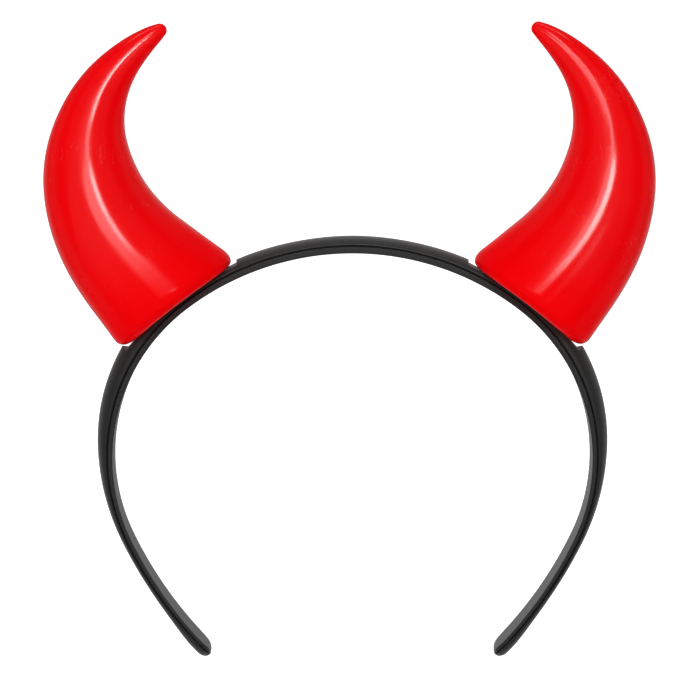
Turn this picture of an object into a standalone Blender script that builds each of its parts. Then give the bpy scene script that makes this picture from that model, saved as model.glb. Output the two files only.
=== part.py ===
"""Devil horns headband: a moulded black band that carries a hollow red horn on each side.

Every piece is worked out in the band's own frame, seen from the front: X to the right, Y up over
the head, Z towards the viewer, with the origin on the band's inner face at the crown. The whole
headband is then laid on its back, on the two horns and the two ends of the band.
All lengths are in metres and all angles in degrees.
"""

import math

import bmesh
import bpy
import numpy as np
from mathutils import Matrix, Vector

# The band follows three arcs down each leg, from the crown to the end
ARCH_ARCS = (  # radius of the inner face, length along it
    (0.0741, 0.0481),
    (0.0524, 0.0713),
    (0.1125, 0.0390),
)
BAND_DEPTH = 0.0110
BAND_SECTIONS = (  # distance from the crown, height over the inner face, flange thickness
    (0.0000, 0.00432, 0.00175),
    (0.0120, 0.00430, 0.00171),
    (0.0240, 0.00442, 0.00167),
    (0.0380, 0.00466, 0.00158),
    (0.0520, 0.00550, 0.00148),
    (0.0660, 0.00624, 0.00142),
    (0.0740, 0.00590, 0.00138),
    (0.0820, 0.00541, 0.00128),
    (0.0900, 0.00478, 0.00120),
    (0.0970, 0.00418, 0.00113),
    (0.1040, 0.00369, 0.00108),
    (0.1120, 0.00326, 0.00100),
    (0.1200, 0.00304, 0.00100),
    (0.1280, 0.00298, 0.00096),
    (0.1360, 0.00299, 0.00090),
    (0.1440, 0.00320, 0.00082),
    (0.1520, 0.00372, 0.00080),
    (0.1584, 0.00378, 0.00080),
)
EDGE_ROUND = 0.0003
GROOVE_WIDTH = 0.00055
GROOVE_DEPTH = 0.0007
GROOVE_END = 0.0035  # the groove runs out this far before the band's end
GROOVE_FADE = 0.0030
GROOVE_SLOPE = 0.15  # share of the groove's width that each of its sides slopes over
CROWN_INSET = 0.0002
DOME_STEPS = 8
BAND_STATIONS = 33  # on each leg, from the crown's middle facet to where the end rounds off
END_STEPS = 6
END_ROUND = 0.0028  # length over which the end rounds off in height, from both faces
END_TRIM = 0.00002  # the last ring stops this far short, so that it keeps a width

# Each horn stands on a seat that is cut into the crown of the band and bows down to both its ends
SEAT_BEARING = 52.17  # of the band's outward normal there, from X
SEAT_HEIGHT = 0.00285
SEAT_SHIFT = -0.0007  # of the horn's middle towards the crown
SEAT_HALF_LENGTH = 0.0193
SEAT_RADIUS = 0.1100  # of the seat's bow along the band
SEAT_STEPS = 12
SEAT_CUT_HEIGHT = 0.0120  # of the block that clears the crown over the seat
PIECE_GAP = 0.0003

HORN_SECTIONS = (  # distance along the horn, turn from the seat's normal, radius
    (0.000, -11.1, 0.01961),
    (0.015, -1.5, 0.01732),
    (0.030, 14.6, 0.01507),
    (0.045, 35.4, 0.01231),
    (0.060, 58.1, 0.00852),
    (0.075, 81.3, 0.00507),
    (0.083, 90.7, 0.00343),
    (0.087, 95.0, 0.00247),
    (0.089, 96.7, 0.00184),
)
HORNS = (  # name, side seen from the front, lean towards the crown, share of the turn, of the length
    ("left", -1, -3.3, 1.019, 1.002),
    ("right", 1, 0.0, 0.981, 0.994),
)
HORN_WALL = 0.0007
HORN_SIDES = 24
HORN_STEP = 0.0042  # between rings
AXIS_STEP = 0.0005  # between the points that the horn's axis is summed from
BASE_RINGS = 4  # between the pin's hole and the rounded lower edge
BASE_ROUND = 0.0043
BASE_ROUND_STEPS = 4
BASE_BLEND = 0.015  # length over which the rings turn from the bowed base to square on the axis
TIP_STEPS = 3

# A plain pin joins each horn to its seat
POST_RADIUS = 0.0025
POST_SINK = 0.0010
POST_REACH = 0.0070
POST_SIDES = 20
POST_CUT_REACH = 0.0040  # how far over the seat the socket's cutter stands

RED_GLOSS = (0.73, 0.002, 0.006, 1.0)
BLACK_SATIN = (0.018, 0.018, 0.017, 1.0)
GREY_PLAIN = (0.12, 0.12, 0.12, 1.0)


def smooth(stations, values, at):
    """Values of a table's column between its rows, along a smooth curve through every row."""
    slopes = np.gradient(values, stations)
    low = np.clip(np.searchsorted(stations, at, side="right") - 1, 0, len(stations) - 2)
    width = stations[low + 1] - stations[low]
    t = (at - stations[low]) / width
    start = (2 * t**3 - 3 * t**2 + 1) * values[low] + (t**3 - 2 * t**2 + t) * width * slopes[low]
    end = (3 * t**2 - 2 * t**3) * values[low + 1] + (t**3 - t**2) * width * slopes[low + 1]
    return start + end


def eased(share):
    """Zero to one with a flat start and finish."""
    share = min(max(share, 0.0), 1.0)
    return share * share * (3 - 2 * share)


def material(name, colour, roughness):
    made = bpy.data.materials.new(name)
    made.use_nodes = True
    shader = made.node_tree.nodes["Principled BSDF"]
    shader.inputs["Base Color"].default_value = colour
    shader.inputs["Metallic"].default_value = 0.0
    shader.inputs["Roughness"].default_value = roughness
    return made


def new_object(name, mesh, collection, finish=None):
    made = bpy.data.objects.new(name, mesh)
    collection.objects.link(made)
    if finish:
        mesh.materials.append(finish)
        mesh.shade_smooth()
        mesh.set_sharp_from_angle(angle=math.radians(35))
    return made


def loft(name, rings, first_cap, last_cap):
    """A skin over rings of points. Each end is "open", "flat", or a point that closes it."""
    bm = bmesh.new()
    loops = [[bm.verts.new(point) for point in ring] for ring in rings]
    for here, there in zip(loops, loops[1:]):
        for i in range(len(here)):
            j = (i + 1) % len(here)
            bm.faces.new((here[i], here[j], there[j], there[i]))
    for cap, loop in ((first_cap, loops[0]), (last_cap, loops[-1])):
        if cap == "flat":
            bm.faces.new(loop)
        elif cap != "open":
            tip = bm.verts.new(cap)
            for i in range(len(loop)):
                bm.faces.new((loop[i], loop[(i + 1) % len(loop)], tip))
    bmesh.ops.recalc_face_normals(bm, faces=bm.faces)
    mesh = bpy.data.meshes.new(name)
    bm.to_mesh(mesh)
    bm.free()
    return mesh


def arch_frame(distance):
    """Point on the inner face and the outward normal's bearing, at a distance along the right leg."""
    centre = Vector((0.0, -ARCH_ARCS[0][0]))
    bearing = 90.0
    left = distance
    for index, (radius, length) in enumerate(ARCH_ARCS):
        last = index == len(ARCH_ARCS) - 1
        step = left if last else min(left, length)
        bearing -= math.degrees(step / radius)
        left -= step
        outward = Vector((math.cos(math.radians(bearing)), math.sin(math.radians(bearing))))
        point = centre + outward * radius
        if left <= 0.0 or last:
            break
        centre = point - outward * ARCH_ARCS[index + 1][0]
    return point, bearing


def arch_distance(bearing):
    """Distance from the crown at which the band's outward normal has this bearing."""
    turn = 90.0 - bearing
    distance = 0.0
    for radius, length in ARCH_ARCS:
        step = min(length, radius * math.radians(turn))
        distance += step
        turn -= math.degrees(step / radius)
        if turn <= 0.0:
            break
    return distance


HALF_LENGTH = sum(length for _, length in ARCH_ARCS)


def band_outline(distance):
    """The band's section at a distance from the crown, as (depth, height) pairs."""
    table = np.array(BAND_SECTIONS)
    height = float(smooth(table[:, 0], table[:, 1], distance))
    flange = float(smooth(table[:, 0], table[:, 2], distance))
    to_end = HALF_LENGTH - distance
    half = BAND_DEPTH / 2
    groove = GROOVE_DEPTH * eased((to_end - GROOVE_END) / GROOVE_FADE)
    groove = max(groove, CROWN_INSET)
    base = flange + GROOVE_WIDTH
    side = [
        (half - EDGE_ROUND, 0.0),
        (half, EDGE_ROUND),
        (half, flange - EDGE_ROUND),
        (half - CROWN_INSET, flange),
        (half - groove, flange + GROOVE_WIDTH * GROOVE_SLOPE),
        (half - groove, base - GROOVE_WIDTH * GROOVE_SLOPE),
    ]
    dome = []
    for i in range(DOME_STEPS + 1):
        angle = math.pi * i / DOME_STEPS
        dome.append(((half - CROWN_INSET) * math.cos(angle), base + (height - base) * math.sin(angle)))
    back = [(-depth, rise) for depth, rise in reversed(side)]
    plan = 1.0
    lift = 1.0
    if to_end < half:
        plan = math.sqrt(max(1 - (1 - to_end / half) ** 2, 0.0))
    if to_end < END_ROUND:
        lift = math.sqrt(max(1 - (1 - to_end / END_ROUND) ** 2, 0.0))
    middle = height / 2
    return [(depth * plan, middle + (rise - middle) * lift) for depth, rise in side + dome + back]


def band_distances():
    """Stations down one leg: even ones, then closer ones where the end rounds off."""
    half = BAND_DEPTH / 2
    first = (HALF_LENGTH - half) / (2 * BAND_STATIONS)
    even = [first * (2 * i + 1) for i in range(BAND_STATIONS)]
    even[-1] = HALF_LENGTH - half
    turns = [math.radians(90 * i / END_STEPS) for i in range(1, END_STEPS)]
    ends = [HALF_LENGTH - half * (1 - math.sin(turn)) for turn in turns]
    ends.append(HALF_LENGTH - END_TRIM)
    return even + ends


def make_headband(collection, cutters):
    """The band: a thin flange against the head, a groove along both edges and a domed crown."""
    rings = []
    distances = band_distances()
    for side, run in ((-1, reversed(distances)), (1, distances)):
        for distance in run:
            point, bearing = arch_frame(distance)
            normal = Vector((math.cos(math.radians(bearing)), math.sin(math.radians(bearing))))
            ring = []
            for depth, rise in band_outline(distance):
                spot = point + normal * rise
                ring.append((side * spot.x, spot.y, depth))
            rings.append(ring)
    mesh = loft("headband", rings, "flat", "flat")
    band = new_object("headband", mesh, collection, material("moulded_black_plastic", BLACK_SATIN, 0.38))
    for name, side, *_ in HORNS:
        for cutter in (seat_cutter(name, side, cutters), post_cutter(name, side, cutters)):
            cut = band.modifiers.new(cutter.name, "BOOLEAN")
            cut.operation = "DIFFERENCE"
            cut.solver = "EXACT"
            cut.object = cutter
    return band


def seat_matrix(side, height):
    """Frame of a horn's seat: Y along its middle's normal, at a height over the seat, Z forwards."""
    point, bearing = arch_frame(arch_distance(SEAT_BEARING))
    angle = math.radians(bearing)
    normal = Vector((math.cos(angle), math.sin(angle)))
    to_crown = Vector((-normal.y, normal.x))
    spot = point + normal * (SEAT_HEIGHT + height) + to_crown * SEAT_SHIFT
    place = Matrix.Translation((side * spot.x, spot.y, 0.0))
    return place @ Matrix.Rotation(side * (angle - math.pi / 2), 4, "Z")


def seat_drop(x):
    """How far the seat bows down at a distance from its middle, along the band."""
    return x * x / (2 * SEAT_RADIUS)


def as_cutter(cutter):
    cutter.hide_render = True
    cutter.display_type = "WIRE"
    return cutter


def seat_cutter(name, side, cutters):
    """A block with a bowed underside that clears the crown of the band down to the horn's seat."""
    rings = []
    for x in np.linspace(-SEAT_HALF_LENGTH, SEAT_HALF_LENGTH, SEAT_STEPS + 1):
        low, high = -seat_drop(float(x)), SEAT_CUT_HEIGHT
        corners = ((low, -BAND_DEPTH), (low, BAND_DEPTH), (high, BAND_DEPTH), (high, -BAND_DEPTH))
        rings.append([(float(x), y, z) for y, z in corners])
    mesh = loft(f"seat_cutter_{name}", rings, "flat", "flat")
    mesh.transform(seat_matrix(side, 0.0))
    return as_cutter(new_object(f"seat_cutter_{name}", mesh, cutters))


def rod(name, radius, low, high, side):
    """A round bar on a seat's normal, between two heights over the seat."""
    bm = bmesh.new()
    bmesh.ops.create_cone(
        bm,
        cap_ends=True,
        segments=POST_SIDES,
        radius1=radius,
        radius2=radius,
        depth=high - low,
        matrix=seat_matrix(side, (low + high) / 2) @ Matrix.Rotation(-math.pi / 2, 4, "X"),
    )
    mesh = bpy.data.meshes.new(name)
    bm.to_mesh(mesh)
    bm.free()
    return mesh


def post_cutter(name, side, cutters):
    """A bar that leaves a blind socket in the seat for the pin's foot."""
    deep = POST_SINK + PIECE_GAP
    mesh = rod(f"post_cutter_{name}", POST_RADIUS + PIECE_GAP, -deep, POST_CUT_REACH, side)
    return as_cutter(new_object(f"post_cutter_{name}", mesh, cutters))


def make_post(name, side, collection, finish):
    """The hidden pin that holds a horn on its seat."""
    mesh = rod(f"fixing_post_{name}", POST_RADIUS, -POST_SINK, POST_REACH, side)
    return new_object(f"fixing_post_{name}", mesh, collection, finish)


def horn_axis(lean, curl, stretch):
    """The horn's axis by distance: points, headings and ring radii, in the seat's frame."""
    table = np.array(HORN_SECTIONS)
    along = np.linspace(0.0, table[-1, 0], round(table[-1, 0] / AXIS_STEP) + 1)
    turns = table[0, 1] + lean + (smooth(table[:, 0], table[:, 1], along) - table[0, 1]) * curl
    radii = smooth(table[:, 0], table[:, 2], along)
    heading = np.radians(90.0 + turns)
    middle = (heading[1:] + heading[:-1]) / 2
    length = (along[1] - along[0]) * stretch
    x = np.concatenate(([0.0], np.cumsum(np.cos(middle)) * length))
    y = np.concatenate(([0.0], np.cumsum(np.sin(middle)) * length))
    return along, x, y, turns, radii


def horn_ring(centre, tilt, across, deep, bow=0.0):
    """One oval ring, its plane tilted from the seat's by an angle about Z, and bowed like the seat."""
    angle = math.radians(tilt)
    ring = []
    for i in range(HORN_SIDES):
        t = 2 * math.pi * i / HORN_SIDES
        reach = across * math.cos(t)
        x = centre[0] + reach * math.cos(angle)
        y = centre[1] + reach * math.sin(angle)
        ring.append((x, y - bow * seat_drop(x), deep * math.sin(t)))
    return ring


def horn_rings(lean, curl, stretch):
    """Rings of the outer skin, from the pin's hole over the rounded base and up to the tip."""
    along, xs, ys, turns, radii = horn_axis(lean, curl, stretch)

    def ring_at(distance, inset):
        x, y, turn, radius = (float(np.interp(distance, along, row)) for row in (xs, ys, turns, radii))
        turned = eased(distance / BASE_BLEND)
        tilt = turn * turned
        deep = radius - inset
        return horn_ring((x, y), tilt, deep / math.cos(math.radians(turn - tilt)), deep, 1 - turned)

    hole = POST_RADIUS + PIECE_GAP
    base = float(radii[0]) - BASE_ROUND
    base_across = base / math.cos(math.radians(float(turns[0])))
    rings = []
    for i in range(BASE_RINGS):
        share = i / BASE_RINGS
        across, deep = (hole + (rim - hole) * share for rim in (base_across, base))
        rings.append(horn_ring((0.0, 0.0), 0.0, across, deep, 1.0))
    for i in range(BASE_ROUND_STEPS + 1):
        angle = math.radians(90 * i / BASE_ROUND_STEPS)
        rings.append(ring_at(BASE_ROUND * (1 - math.cos(angle)), BASE_ROUND * (1 - math.sin(angle))))
    end = along[-1]
    count = round((end - BASE_ROUND) / HORN_STEP)
    for i in range(1, count + 1):
        rings.append(ring_at(BASE_ROUND + (end - BASE_ROUND) * i / count, 0.0))

    # The tip is a part of a ball that the horn's taper runs into smoothly
    heading = math.radians(90.0 + turns[-1])
    forwards = Vector((math.cos(heading), math.sin(heading), 0.0))
    taper = math.atan2(radii[-2] - radii[-1], (along[-1] - along[-2]) * stretch)
    ball = radii[-1] / math.cos(taper)
    middle = Vector((xs[-1], ys[-1], 0.0)) - forwards * ball * math.sin(taper)
    for i in range(1, TIP_STEPS):
        angle = taper + (math.pi / 2 - taper) * i / TIP_STEPS
        radius = ball * math.cos(angle)
        rings.append(horn_ring(middle + forwards * ball * math.sin(angle), turns[-1], radius, radius))
    return rings, middle + forwards * ball


def make_horn(name, side, shape, collection, finish):
    """A hollow horn: one thin skin, closed at the tip, with a hole in its base for the pin."""
    rings, tip = horn_rings(*shape)
    if side < 0:
        rings = [[(-x, y, z) for x, y, z in ring] for ring in rings]
        tip = Vector((-tip.x, tip.y, tip.z))
    horn = new_object(f"horn_{name}", loft(f"horn_{name}", rings, "open", tip), collection, finish)
    horn.matrix_world = seat_matrix(side, PIECE_GAP)
    wall = horn.modifiers.new("wall", "SOLIDIFY")
    wall.thickness = HORN_WALL
    wall.offset = -1.0
    wall.use_even_offset = False
    wall.use_rim = True
    return horn


def rest_on_back(pieces, empty):
    """Tilts the band's frame until the horns and the band's ends touch the ground together."""

    def points_of(piece):
        return np.array([piece.matrix_world @ vertex.co for vertex in piece.data.vertices])

    band = points_of(pieces["headband"])
    horns = np.concatenate([points_of(pieces[f"horn_{name}"]) for name, *_ in HORNS])
    low, high = 0.0, math.radians(30)
    for _ in range(40):
        tilt = (low + high) / 2
        row = np.array((0.0, math.sin(tilt), math.cos(tilt)))
        if (horns @ row).min() < (band @ row).min():
            low = tilt
        else:
            high = tilt
    turn = np.array(Matrix.Rotation(tilt, 3, "X"))
    every = np.concatenate((band, horns)) @ turn.T
    middle = (every.min(axis=0) + every.max(axis=0)) / 2
    empty.rotation_euler.x = tilt
    empty.location = (-middle[0], -middle[1], -every[:, 2].min())


def main():
    for old in list(bpy.data.objects):
        bpy.data.objects.remove(old, do_unlink=True)
    collection = bpy.data.collections.new("devil_horns_headband")
    cutters = bpy.data.collections.new("cutters")
    for group in (collection, cutters):
        bpy.context.scene.collection.children.link(group)

    red = material("glossy_red_plastic", RED_GLOSS, 0.16)
    plain = material("plain_grey_plastic", GREY_PLAIN, 0.5)
    pieces = {"headband": make_headband(collection, cutters)}
    for name, side, *shape in HORNS:
        pieces[f"horn_{name}"] = make_horn(name, side, shape, collection, red)
        pieces[f"fixing_post_{name}"] = make_post(name, side, collection, plain)
    bpy.context.view_layer.update()

    resting = bpy.data.objects.new("resting_frame", None)
    collection.objects.link(resting)
    rest_on_back(pieces, resting)
    for piece in list(pieces.values()) + list(cutters.objects):
        piece.parent = resting


main()
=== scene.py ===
import math

import bmesh
import bpy
import numpy as np
from mathutils import Matrix, Vector


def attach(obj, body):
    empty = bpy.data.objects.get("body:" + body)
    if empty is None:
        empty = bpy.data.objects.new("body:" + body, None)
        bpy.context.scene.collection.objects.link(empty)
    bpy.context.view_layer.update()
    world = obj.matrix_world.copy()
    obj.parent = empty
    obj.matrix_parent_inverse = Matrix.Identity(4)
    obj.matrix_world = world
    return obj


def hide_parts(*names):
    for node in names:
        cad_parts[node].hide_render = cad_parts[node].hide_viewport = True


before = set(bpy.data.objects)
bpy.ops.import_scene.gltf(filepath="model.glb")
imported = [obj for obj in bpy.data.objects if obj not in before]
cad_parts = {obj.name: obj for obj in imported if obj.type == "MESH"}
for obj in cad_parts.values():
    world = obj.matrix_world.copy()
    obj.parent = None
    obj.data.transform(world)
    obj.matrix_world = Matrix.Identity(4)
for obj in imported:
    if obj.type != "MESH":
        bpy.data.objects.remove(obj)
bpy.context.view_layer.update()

# The band is one injection moulding in black ABS: a thin flange that lies against the head, a narrow
# groove along both edges, and a domed crown that swells where a horn stands on it. It tapers down each
# leg and ends in a round tongue. A shallow seat under each horn takes the horn's base.

ARCH_ARCS = (  # radius of the inner face, length along it, in metres
    (0.0741, 0.0481),
    (0.0524, 0.0713),
    (0.1125, 0.0390),
)
LEG_LENGTH = sum(length for _, length in ARCH_ARCS)
BAND_HALF_DEPTH = 0.0055
BAND_SECTIONS = np.array((  # distance from the crown, height over the inner face, flange thickness
    (0.0000, 0.00432, 0.00175),
    (0.0120, 0.00430, 0.00171),
    (0.0240, 0.00442, 0.00167),
    (0.0380, 0.00466, 0.00158),
    (0.0520, 0.00550, 0.00148),
    (0.0660, 0.00624, 0.00142),
    (0.0740, 0.00590, 0.00138),
    (0.0820, 0.00541, 0.00128),
    (0.0900, 0.00478, 0.00120),
    (0.0970, 0.00418, 0.00113),
    (0.1040, 0.00369, 0.00108),
    (0.1120, 0.00326, 0.00100),
    (0.1200, 0.00304, 0.00100),
    (0.1280, 0.00298, 0.00096),
    (0.1360, 0.00299, 0.00090),
    (0.1440, 0.00320, 0.00082),
    (0.1520, 0.00372, 0.00080),
    (0.1584, 0.00378, 0.00080),
))
EDGE_ROUND = 0.0003
EDGE_STEPS = 4
DOME_STEPS = 36
LEG_RINGS = 360
END_RINGS = 28
GROOVE_WIDTH = 0.00055
GROOVE_DEPTH = 0.0007
GROOVE_SLOPE = 0.15  # share of its width that each side slopes over
GROOVE_END = 0.0035  # it runs out this far before the band's end
GROOVE_FADE = 0.0030
CROWN_INSET = 0.0002
END_ROUND = 0.0028  # length over which the end rounds off in height, from both faces
SEAT_BEARING = 52.17  # of the outward normal under a horn, in degrees from X
SEAT_HEIGHT = 0.00285
SEAT_SHIFT = -0.0007
SEAT_HALF_LENGTH = 0.0193
SEAT_RADIUS = 0.1100  # of the seat's bow along the band
SEAT_SEARCH = np.linspace(0.03, 0.07, 4001)  # distances tried, 0.01 mm apart
REST_TILT = 7.9749  # of the band's plane as the headband lies on its back, in degrees
REST_PLACE = (0.0008408, 0.0249287, 0.0203189)


def smooth(column, at):
    """Height or thickness at a distance, along a smooth curve through every row of the table."""
    stations, values = BAND_SECTIONS[:, 0], BAND_SECTIONS[:, column]
    return float(through(stations, values, at))


def through(stations, values, at):
    """Values at one or many distances, along a smooth curve through the stations."""
    slopes = np.gradient(values, stations)
    low = np.clip(np.searchsorted(stations, at, side="right") - 1, 0, len(stations) - 2)
    width = stations[low + 1] - stations[low]
    t = (at - stations[low]) / width
    start = (2 * t**3 - 3 * t**2 + 1) * values[low] + (t**3 - 2 * t**2 + t) * width * slopes[low]
    end = (3 * t**2 - 2 * t**3) * values[low + 1] + (t**3 - t**2) * width * slopes[low + 1]
    return start + end


def eased(share):
    """A share from 0 to 1 that starts and ends gently."""
    share = min(max(share, 0.0), 1.0)
    return share * share * (3 - 2 * share)


def arch_frame(distance):
    """Point on the inner face, and its outward normal's bearing, down the leg on +X."""
    centre = Vector((0.0, -ARCH_ARCS[0][0]))
    bearing = 90.0
    left = distance
    for index, (radius, length) in enumerate(ARCH_ARCS):
        last = index == len(ARCH_ARCS) - 1
        step = left if last else min(left, length)
        bearing -= math.degrees(step / radius)
        left -= step
        outward = Vector((math.cos(math.radians(bearing)), math.sin(math.radians(bearing))))
        point = centre + outward * radius
        if left <= 0.0 or last:
            break
        centre = point - outward * ARCH_ARCS[index + 1][0]
    return point, bearing


def band_section(distance):
    """Closed section of the band as (depth, height) pairs, starting on the inner face."""
    height, flange = smooth(1, distance), smooth(2, distance)
    to_end = LEG_LENGTH - distance
    half = BAND_HALF_DEPTH
    groove = max(GROOVE_DEPTH * eased((to_end - GROOVE_END) / GROOVE_FADE), CROWN_INSET)
    base = flange + GROOVE_WIDTH
    side = [(half * share, 0.0) for share in (0.25, 0.5, 0.75)]
    for centre, first in ((EDGE_ROUND, -90), (flange - EDGE_ROUND * 0.5, 0)):
        for i in range(EDGE_STEPS + 1):
            angle = math.radians(first + 90 * i / EDGE_STEPS)
            reach = EDGE_ROUND if first else EDGE_ROUND * 0.5
            side.append((half - reach + reach * math.cos(angle), centre + reach * math.sin(angle)))
    side += [
        (half - CROWN_INSET, flange),
        (half - groove, flange + GROOVE_WIDTH * GROOVE_SLOPE),
        (half - groove, base - GROOVE_WIDTH * GROOVE_SLOPE),
    ]
    dome = []
    for i in range(DOME_STEPS + 1):
        angle = math.pi * i / DOME_STEPS
        dome.append(((half - CROWN_INSET) * math.cos(angle), base + (height - base) * math.sin(angle)))
    back = [(-depth, rise) for depth, rise in reversed(side)]
    plan, lift = 1.0, 1.0
    if to_end < half:
        plan = math.sqrt(max(1 - (1 - to_end / half) ** 2, 0.0))
    if to_end < END_ROUND:
        lift = math.sqrt(max(1 - (1 - to_end / END_ROUND) ** 2, 0.0))
    middle = height / 2
    outline = side + dome + back + [(0.0, 0.0)]
    return [(depth * plan, middle + (rise - middle) * lift) for depth, rise in outline]


def seat_frame(side):
    """Frame of the seat under a horn: Y along its middle's normal and Z to the front of the band."""
    distance = 0.0
    for step in SEAT_SEARCH:
        if arch_frame(step)[1] <= SEAT_BEARING:
            distance = step
            break
    point, bearing = arch_frame(distance)
    angle = math.radians(bearing)
    normal = Vector((math.cos(angle), math.sin(angle)))
    spot = point + normal * SEAT_HEIGHT + Vector((-normal.y, normal.x)) * SEAT_SHIFT
    place = Matrix.Translation((side * spot.x, spot.y, 0.0))
    return place @ Matrix.Rotation(side * (angle - math.pi / 2), 4, "Z")


def seat_drop(x):
    """How far the seat bows down at a distance from its middle, along the band."""
    return x * x / (2 * SEAT_RADIUS)


LYING = Matrix.Translation(REST_PLACE) @ Matrix.Rotation(math.radians(REST_TILT), 4, "X")


def skin(name, rings, lengths, arounds, caps):
    """A mesh over closed rings, with a UV map in metres: round the ring, and along the piece."""
    bm = bmesh.new()
    uv = bm.loops.layers.uv.new("metres")
    loops = [[bm.verts.new(point) for point in ring] for ring in rings]
    for k in range(len(rings) - 1):
        for i in range(len(rings[k])):
            j = (i + 1) % len(rings[k])
            face = bm.faces.new((loops[k][i], loops[k][j], loops[k + 1][j], loops[k + 1][i]))
            corners = ((k, i), (k, i + 1), (k + 1, i + 1), (k + 1, i))
            for corner, (row, column) in zip(face.loops, corners):
                corner[uv].uv = (arounds[column], lengths[row])
    for cap, ring in zip(caps, (0, -1)):
        if cap is None:
            bm.faces.new(loops[ring])
        else:
            tip = bm.verts.new(cap)
            for i in range(len(loops[ring])):
                face = bm.faces.new((loops[ring][i], loops[ring][(i + 1) % len(loops[ring])], tip))
                for corner in face.loops:
                    corner[uv].uv = (arounds[i], lengths[ring])
    bmesh.ops.recalc_face_normals(bm, faces=bm.faces)
    mesh = bpy.data.meshes.new(name)
    bm.to_mesh(mesh)
    bm.free()
    mesh.transform(LYING)
    mesh.shade_smooth()
    made = bpy.data.objects.new(name, mesh)
    bpy.context.scene.collection.objects.link(made)
    return made


run = np.linspace(0.0, LEG_LENGTH - BAND_HALF_DEPTH, LEG_RINGS)
turn_in = LEG_LENGTH - BAND_HALF_DEPTH * (1 - np.sin(np.linspace(0, math.pi / 2, END_RINGS)[1:-1]))
last_ring = LEG_LENGTH - 0.00001  # just short of the end, where the section would shrink to nothing
distances = [float(d) for d in np.concatenate((run, turn_in, [last_ring]))]
seats = {side: seat_frame(side) for side in (-1, 1)}
rings, lengths = [], []
for side, leg in ((-1, distances[:0:-1]), (1, distances)):
    to_seat = seats[side].inverted()
    for distance in leg:
        point, bearing = arch_frame(distance)
        normal = Vector((math.cos(math.radians(bearing)), math.sin(math.radians(bearing))))
        ring = []
        for depth, rise in band_section(distance):
            spot = point + normal * rise
            local = to_seat @ Vector((side * spot.x, spot.y, depth))
            if abs(local.x) < SEAT_HALF_LENGTH:
                local.y = min(local.y, -seat_drop(local.x))
            ring.append(seats[side] @ local)
        rings.append(ring)
        lengths.append(side * distance)
section = band_section(0.0)
arounds = [0.0]
for here, there in zip(section, section[1:] + section[:1]):
    arounds.append(arounds[-1] + math.dist(here, there))
band = skin("moulded_band", rings, lengths, arounds, (None, None))
weights = band.modifiers.new("even_normals", "WEIGHTED_NORMAL")
weights.keep_sharp = True


def linear(code):
    """An sRGB hex colour as linear red, green, blue and alpha."""
    parts = [int(code[i : i + 2], 16) / 255 for i in (1, 3, 5)]
    return [p / 12.92 if p <= 0.04045 else ((p + 0.055) / 1.055) ** 2.4 for p in parts] + [1.0]


def put(tree, kind, feeds=(), **settings):
    """Adds a node. A feed sets a socket, by name or number, to a value or to another node's output."""
    made = tree.nodes.new(kind)
    for name, value in settings.items():
        setattr(made, name, value)
    for socket, value in dict(feeds).items():
        if isinstance(value, bpy.types.NodeSocket):
            tree.links.new(value, made.inputs[socket])
        else:
            made.inputs[socket].default_value = value
    return made


# Black ABS, moulded with a fine satin texture: near black, with soft grey reflections that stretch
# along the band and get brighter where it is seen edge-on.
black_abs = bpy.data.materials.new("moulded_black_abs")
black_abs.use_nodes = True
tree = black_abs.node_tree
shader = tree.nodes["Principled BSDF"]
shader.inputs["IOR"].default_value = 1.54
place = put(tree, "ShaderNodeUVMap", uv_map="metres")
# the fine texture scatters light at low angles, which greys the crown's flanks; the groove along
# each edge gets painted shade: its sheen and shine are turned down there so that it stays dark
across = put(tree, "ShaderNodeSeparateXYZ", {0: place.outputs[0]})
front_groove = 3 + 2 * (EDGE_STEPS + 1)  # the section's point where each groove starts
rear_groove = front_groove + 3 + DOME_STEPS + 1
groove_sides = []
for corner in (front_groove, rear_groove):
    groove_middle = (arounds[corner] + arounds[corner + 3]) / 2
    groove_sides.append(put(tree, "ShaderNodeMath", {
        0: across.outputs["X"], 1: groove_middle, 2: GROOVE_WIDTH,
    }, operation="COMPARE"))
painted_groove_shade = put(tree, "ShaderNodeMath", {
    0: groove_sides[0].outputs[0], 1: groove_sides[1].outputs[0],
}, operation="MAXIMUM")
# painted shade in the grooves: less sheen and less shine where the groove mask is on
sheen = put(tree, "ShaderNodeMapRange", {"Value": painted_groove_shade.outputs[0], "To Min": 0.17, "To Max": 0.0})
shine = put(tree, "ShaderNodeMapRange", {"Value": painted_groove_shade.outputs[0], "To Min": 0.5, "To Max": 0.15})
tree.links.new(sheen.outputs[0], shader.inputs["Sheen Weight"])
tree.links.new(shine.outputs[0], shader.inputs["Specular IOR Level"])
shader.inputs["Sheen Roughness"].default_value = 0.6
drawn_out = put(tree, "ShaderNodeMapping", {"Vector": place.outputs[0], "Scale": (1.0, 0.12, 1.0)})
# flow marks about 1.2 mm wide that run ten times as long as they are wide
flow = put(tree, "ShaderNodeTexNoise", {"Vector": drawn_out.outputs[0], "Scale": 850.0, "Detail": 3.0})
# the satin texture of the mould is about 0.05 mm, drawn at 0.25 mm so that it shows
grain = put(tree, "ShaderNodeTexNoise", {"Vector": place.outputs[0], "Scale": 4000.0, "Detail": 2.0})
tone = put(tree, "ShaderNodeMix", data_type="RGBA")
tree.links.new(flow.outputs["Fac"], tone.inputs["Factor"])
tone.inputs[6].default_value = linear("#0F0F0E")
tone.inputs[7].default_value = linear("#181817")
tree.links.new(tone.outputs[2], shader.inputs["Base Color"])
rough = put(tree, "ShaderNodeMapRange", {"Value": flow.outputs["Fac"], "To Min": 0.38, "To Max": 0.52})
tree.links.new(rough.outputs[0], shader.inputs["Roughness"])
relief = put(tree, "ShaderNodeBump", {
    "Height": grain.outputs["Fac"], "Strength": 0.15, "Distance": 0.00005,
})
tree.links.new(relief.outputs[0], shader.inputs["Normal"])
band.data.materials.append(black_abs)
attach(band, "root")
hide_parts("headband")

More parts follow.
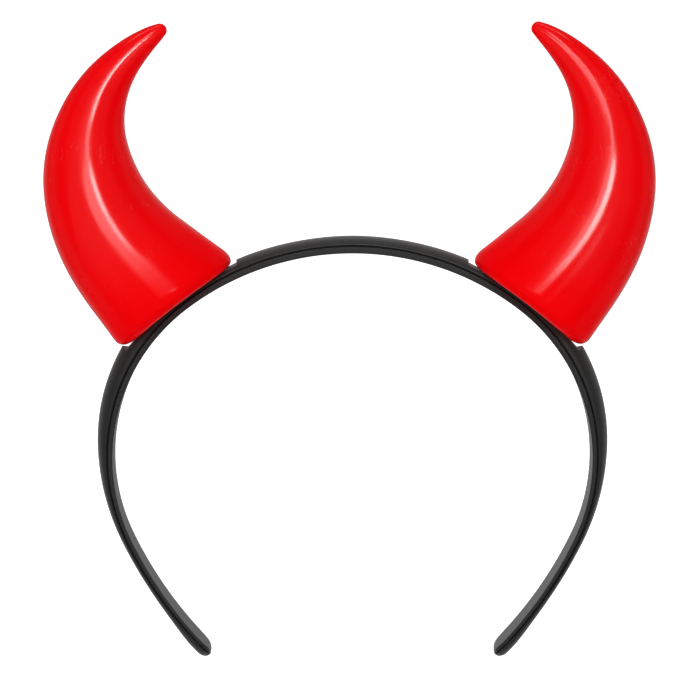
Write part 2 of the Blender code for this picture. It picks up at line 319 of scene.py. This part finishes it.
# Each horn is blow-moulded in soft red plastic: a thin hollow shell, round in section, with a bowed
# base, a rounded lower edge and a blunt tip. It stands on a seat of the band, held from inside.

HORN_SECTIONS = np.array((  # distance along the horn, turn from the seat's normal, radius
    (0.000, -11.1, 0.01961),
    (0.015, -1.5, 0.01732),
    (0.030, 14.6, 0.01507),
    (0.045, 35.4, 0.01231),
    (0.060, 58.1, 0.00852),
    (0.075, 81.3, 0.00507),
    (0.083, 90.7, 0.00343),
    (0.087, 95.0, 0.00247),
    (0.089, 96.7, 0.00184),
))
HORNS = (  # name, side seen from the front, lean towards the crown, share of the turn, of the length
    ("left", -1, -3.3, 1.019, 1.002),
    ("right", 1, 0.0, 0.981, 0.994),
)
HORN_GAP = 0.0003
HORN_SIDES = 128
HORN_RINGS = 150
HORN_STATIONS = 357
HORN_MEAN_RADIUS = 0.015
BASE_ROUND = 0.0043
BASE_ROUND_STEPS = 16
BASE_BLEND = 0.015  # length over which the rings turn from the seat's plane to the horn's own
BASE_SHARES = (0.15, 0.3, 0.45, 0.6, 0.7, 0.8, 0.9, 0.96)  # rings inside the base's flat part
TIP_STEPS = 11


def horn_ring(centre, tilt, across, deep, bow=0.0):
    """One oval ring, its plane tilted from the seat's about Z, and bowed like the seat."""
    angle = math.radians(tilt)
    ring = []
    for i in range(HORN_SIDES):
        t = 2 * math.pi * i / HORN_SIDES
        reach = across * math.cos(t)
        x = centre[0] + reach * math.cos(angle)
        y = centre[1] + reach * math.sin(angle)
        ring.append(Vector((x, y - bow * seat_drop(x), deep * math.sin(t))))
    return ring


def horn_rings(lean, curl, stretch):
    """Rings from the middle of the base to the tip, each with its distance along the horn."""
    along = np.linspace(0.0, HORN_SECTIONS[-1, 0], HORN_STATIONS)
    turns = through(HORN_SECTIONS[:, 0], HORN_SECTIONS[:, 1], along)
    turns = HORN_SECTIONS[0, 1] + lean + (turns - HORN_SECTIONS[0, 1]) * curl
    radii = through(HORN_SECTIONS[:, 0], HORN_SECTIONS[:, 2], along)
    heading = np.radians(90.0 + turns)
    middle = (heading[1:] + heading[:-1]) / 2
    step = (along[1] - along[0]) * stretch
    xs = np.concatenate(([0.0], np.cumsum(np.cos(middle)) * step))
    ys = np.concatenate(([0.0], np.cumsum(np.sin(middle)) * step))

    def ring_at(distance, inset):
        x, y, turn, radius = (float(np.interp(distance, along, row)) for row in (xs, ys, turns, radii))
        turned = eased(distance / BASE_BLEND)
        tilt = turn * turned
        deep = radius - inset
        return horn_ring((x, y), tilt, deep / math.cos(math.radians(turn - tilt)), deep, 1 - turned)

    rings, lengths = [], []
    for share in BASE_SHARES:
        radius = float(radii[0]) - BASE_ROUND
        across = radius / math.cos(math.radians(float(turns[0])))
        rings.append(horn_ring((0.0, 0.0), 0.0, across * share, radius * share, 1.0))
        lengths.append(0.0)
    for i in range(BASE_ROUND_STEPS + 1):
        angle = math.radians(90 * i / BASE_ROUND_STEPS)
        lengths.append(BASE_ROUND * (1 - math.cos(angle)))
        rings.append(ring_at(lengths[-1], BASE_ROUND * (1 - math.sin(angle))))
    for distance in np.linspace(BASE_ROUND, along[-1], HORN_RINGS)[1:]:
        rings.append(ring_at(float(distance), 0.0))
        lengths.append(float(distance))
    # the tip is a part of a ball that the taper runs into smoothly
    forwards = Vector((math.cos(heading[-1]), math.sin(heading[-1]), 0.0))
    taper = math.atan2(radii[-2] - radii[-1], step)
    ball = float(radii[-1]) / math.cos(taper)
    centre = Vector((xs[-1], ys[-1], 0.0)) - forwards * ball * math.sin(taper)
    for angle in np.linspace(taper, math.pi / 2, TIP_STEPS)[1:-1]:
        radius = ball * math.cos(angle)
        rings.append(horn_ring(centre + forwards * ball * math.sin(angle), turns[-1], radius, radius))
        lengths.append(float(along[-1]) + ball * (math.sin(angle) - math.sin(taper)))
    return rings, lengths, centre + forwards * ball


# Soft red plastic, blow-moulded against a polished mould: an even, strong red with clear long
# highlights, a faint orange peel that wavers their edges, and a few hairline scuffs.
red_plastic = bpy.data.materials.new("blow_moulded_red_plastic")
red_plastic.use_nodes = True
tree = red_plastic.node_tree
shader = tree.nodes["Principled BSDF"]
shader.inputs["IOR"].default_value = 1.47
spot = put(tree, "ShaderNodeTexCoord")
# the wall's thickness drifts over about 15 mm, which shifts the red a little
drift = put(tree, "ShaderNodeTexNoise", {"Vector": spot.outputs["Object"], "Scale": 65.0, "Detail": 1.0})
red = put(tree, "ShaderNodeMix", data_type="RGBA")
tree.links.new(drift.outputs["Fac"], red.inputs["Factor"])
red.inputs[6].default_value = linear("#EC0106")
red.inputs[7].default_value = linear("#F40208")
tree.links.new(red.outputs[2], shader.inputs["Base Color"])
# orange peel: shallow waves about 2.5 mm across
peel = put(tree, "ShaderNodeTexNoise", {"Vector": spot.outputs["Object"], "Scale": 400.0, "Detail": 2.0})
waves = put(tree, "ShaderNodeBump", {
    "Height": peel.outputs["Fac"], "Strength": 0.10, "Distance": 0.00006,
})
tree.links.new(waves.outputs[0], shader.inputs["Normal"])
handling = put(tree, "ShaderNodeTexNoise", {
    "Vector": spot.outputs["Object"], "Scale": 180.0, "Detail": 4.0,
})
gloss = put(tree, "ShaderNodeMapRange", {
    "Value": handling.outputs["Fac"], "To Min": 0.10, "To Max": 0.17,
})
# its highlights fade over the last 30 mm above the base, taken here as a duller surface low down
place = put(tree, "ShaderNodeUVMap", uv_map="metres")
split = put(tree, "ShaderNodeSeparateXYZ", {0: place.outputs[0]})
shine = put(tree, "ShaderNodeMapRange", {
    "Value": split.outputs["Y"], "From Min": 0.005, "From Max": 0.030, "To Min": 0.04, "To Max": 0.5,
}, interpolation_type="SMOOTHSTEP")
tree.links.new(shine.outputs[0], shader.inputs["Specular IOR Level"])
# hairline scuffs: thin lines where stretched noise crosses its middle, only in a few patches
stretched = put(tree, "ShaderNodeMapping", {
    "Vector": spot.outputs["Object"], "Rotation": (0.0, 0.0, 0.9), "Scale": (1.0, 0.16, 1.0),
})
veins = put(tree, "ShaderNodeTexNoise", {"Vector": stretched.outputs[0], "Scale": 520.0, "Detail": 2.0})
off_middle = put(tree, "ShaderNodeMath", {0: veins.outputs["Fac"], 1: 0.5}, operation="SUBTRACT")
distance_off = put(tree, "ShaderNodeMath", {0: off_middle.outputs[0]}, operation="ABSOLUTE")
hairline = put(tree, "ShaderNodeMapRange", {
    "Value": distance_off.outputs[0], "From Min": 0.002, "From Max": 0.009, "To Min": 1.0, "To Max": 0.0,
})
patches = put(tree, "ShaderNodeTexNoise", {
    "Vector": spot.outputs["Object"], "Scale": 110.0, "Detail": 1.0,
})
few = put(tree, "ShaderNodeMapRange", {
    "Value": patches.outputs["Fac"], "From Min": 0.56, "From Max": 0.64,
})
scuffs = put(tree, "ShaderNodeMath", {0: hairline.outputs[0], 1: few.outputs[0]}, operation="MULTIPLY")
rough = put(tree, "ShaderNodeMath", {
    0: scuffs.outputs[0], 1: 0.35, 2: gloss.outputs[0],
}, operation="MULTIPLY_ADD")
tree.links.new(rough.outputs[0], shader.inputs["Roughness"])

for name, side, *shape in HORNS:
    rings, lengths, tip = horn_rings(*shape)
    stand = seats[side] @ Matrix.Translation((0.0, HORN_GAP, 0.0))
    rings = [[stand @ Vector((side * p.x, p.y, p.z)) for p in ring] for ring in rings]
    tip = stand @ Vector((side * tip.x, tip.y, tip.z))
    around = [2 * math.pi * HORN_MEAN_RADIUS * i / HORN_SIDES for i in range(HORN_SIDES + 1)]
    horn = skin(f"red_horn_{name}", rings, lengths, around, (None, tip))
    horn.data.materials.append(red_plastic)
    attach(horn, "root")
    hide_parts(f"horn_{name}")

# A plain round pin in each horn's base holds it to the band. It is moulded plastic and never shows.

grey_nylon = bpy.data.materials.new("moulded_grey_nylon")
grey_nylon.use_nodes = True
tree = grey_nylon.node_tree
shader = tree.nodes["Principled BSDF"]
shader.inputs["IOR"].default_value = 1.53
spot = put(tree, "ShaderNodeTexCoord")
cloud = put(tree, "ShaderNodeTexNoise", {
    "Vector": spot.outputs["Object"], "Scale": 900.0, "Detail": 2.0,
})
grey = put(tree, "ShaderNodeMix", data_type="RGBA")
tree.links.new(cloud.outputs["Fac"], grey.inputs["Factor"])
grey.inputs[6].default_value = linear("#5A5A58")
grey.inputs[7].default_value = linear("#64645F")
tree.links.new(grey.outputs[2], shader.inputs["Base Color"])
dull = put(tree, "ShaderNodeMapRange", {"Value": cloud.outputs["Fac"], "To Min": 0.42, "To Max": 0.55})
tree.links.new(dull.outputs[0], shader.inputs["Roughness"])
for name in ("fixing_post_left", "fixing_post_right"):
    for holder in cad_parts[name].material_slots:
        holder.material = grey_nylon

# The headband lies on a plain white table top, large enough to fill every view of it.

TABLE_HALF_SIZE = 4.0
TABLE_HEIGHT = -0.0002  # just under the headband, so that the two never meet
table = bmesh.new()
bmesh.ops.create_grid(table, x_segments=8, y_segments=8, size=TABLE_HALF_SIZE)
top = bpy.data.meshes.new("white_table")
table.to_mesh(top)
table.free()
floor = bpy.data.objects.new("white_table", top)
bpy.context.scene.collection.objects.link(floor)
floor.location.z = TABLE_HEIGHT
floor.visible_glossy = False
# matt white board that glows a little, so that it looks pure white and lights the horns from below
white_board = bpy.data.materials.new("matt_white_board")
white_board.use_nodes = True
tree = white_board.node_tree
shader = tree.nodes["Principled BSDF"]
shader.inputs["Base Color"].default_value = linear("#7C7C7C")
shader.inputs["Roughness"].default_value = 0.9
shader.inputs["Specular IOR Level"].default_value = 0.0
shader.inputs["Emission Color"].default_value = linear("#FFFFFF")
shader.inputs["Emission Strength"].default_value = 1.2
top.materials.append(white_board)

# Soft studio light, all from softboxes about 4 m away: an even ceiling and a key that only light, bright
# boxes nearly overhead that draw the streak down each horn, and dim panels that the gloss mirrors.

LIGHT_DISTANCE = 4.0
SOFTBOXES = (  # name, degrees right and up from overhead, width and height in degrees, brightness, uses
    ("even_ceiling", 0, 0, 120, 120, 0.88, "lights"),
    ("soft_key", -10, 8, 24, 24, 6.0, "lights"),
    ("streak_core", 7, 10, 11, 11, 13.0, "shines"),
    ("streak_wide", -6, 10, 28, 10, 2.4, "shines"),
    ("streak_tail", 2, 27, 10, 20, 3.0, "shines"),
    ("far_panel", 0, 78, 60, 16, 1.2, "shines"),
    ("side_lobe", 21, -7, 12, 10, 0.9, "shines"),
    ("low_panel", -17, -25, 84, 100, 0.10, "shines"),
)
for name, right, up, width, height, glow, use in SOFTBOXES:
    lamp = bpy.data.lights.new(name, "AREA")
    lamp.shape = "ELLIPSE" if "streak" in name else "RECTANGLE"
    lamp.size = 2 * LIGHT_DISTANCE * math.tan(math.radians(width / 2))
    lamp.size_y = 2 * LIGHT_DISTANCE * math.tan(math.radians(height / 2))
    lamp.energy = glow * math.pi * lamp.size * lamp.size_y  # glow 1.0 looks white
    off, turn = math.radians(math.hypot(right, up)), math.atan2(up, right)
    towards = Vector((math.sin(off) * math.cos(turn), math.sin(off) * math.sin(turn), math.cos(off)))
    box = bpy.data.objects.new(name, lamp)
    box.location = towards * LIGHT_DISTANCE
    box.rotation_euler = towards.to_track_quat("Z", "Y").to_euler()
    box.visible_glossy = use == "shines"
    box.visible_diffuse = use == "lights"
    bpy.context.scene.collection.objects.link(box)

# the room that the plastics mirror: dark, and pale only in the directions where the table lies
world = bpy.data.worlds.new("pale_room")
world.use_nodes = True
tree = world.node_tree
towards = put(tree, "ShaderNodeTexCoord")
height = put(tree, "ShaderNodeSeparateXYZ", {0: towards.outputs["Generated"]})
pale = put(tree, "ShaderNodeMapRange", {
    "Value": height.outputs["Z"], "From Min": -0.96, "From Max": -0.55, "To Min": 0.36, "To Max": 0.02,
})
room = tree.nodes["Background"]
room.inputs["Color"].default_value = linear("#FFFFFF")
tree.links.new(pale.outputs[0], room.inputs["Strength"])
bpy.context.scene.world = world
bpy.context.scene.view_settings.view_transform = "Standard"

# The camera looks straight down from about 0.8 m, the way the photograph was taken.

lens = bpy.data.cameras.new("camera")
lens.sensor_width = 36.0
lens.lens = 149.14
lens.clip_start, lens.clip_end = 0.01, 50.0
camera = bpy.data.objects.new("camera", lens)
camera.location = (0.00015, -0.00184, 0.809)
bpy.context.scene.collection.objects.link(camera)
bpy.context.scene.camera = camera
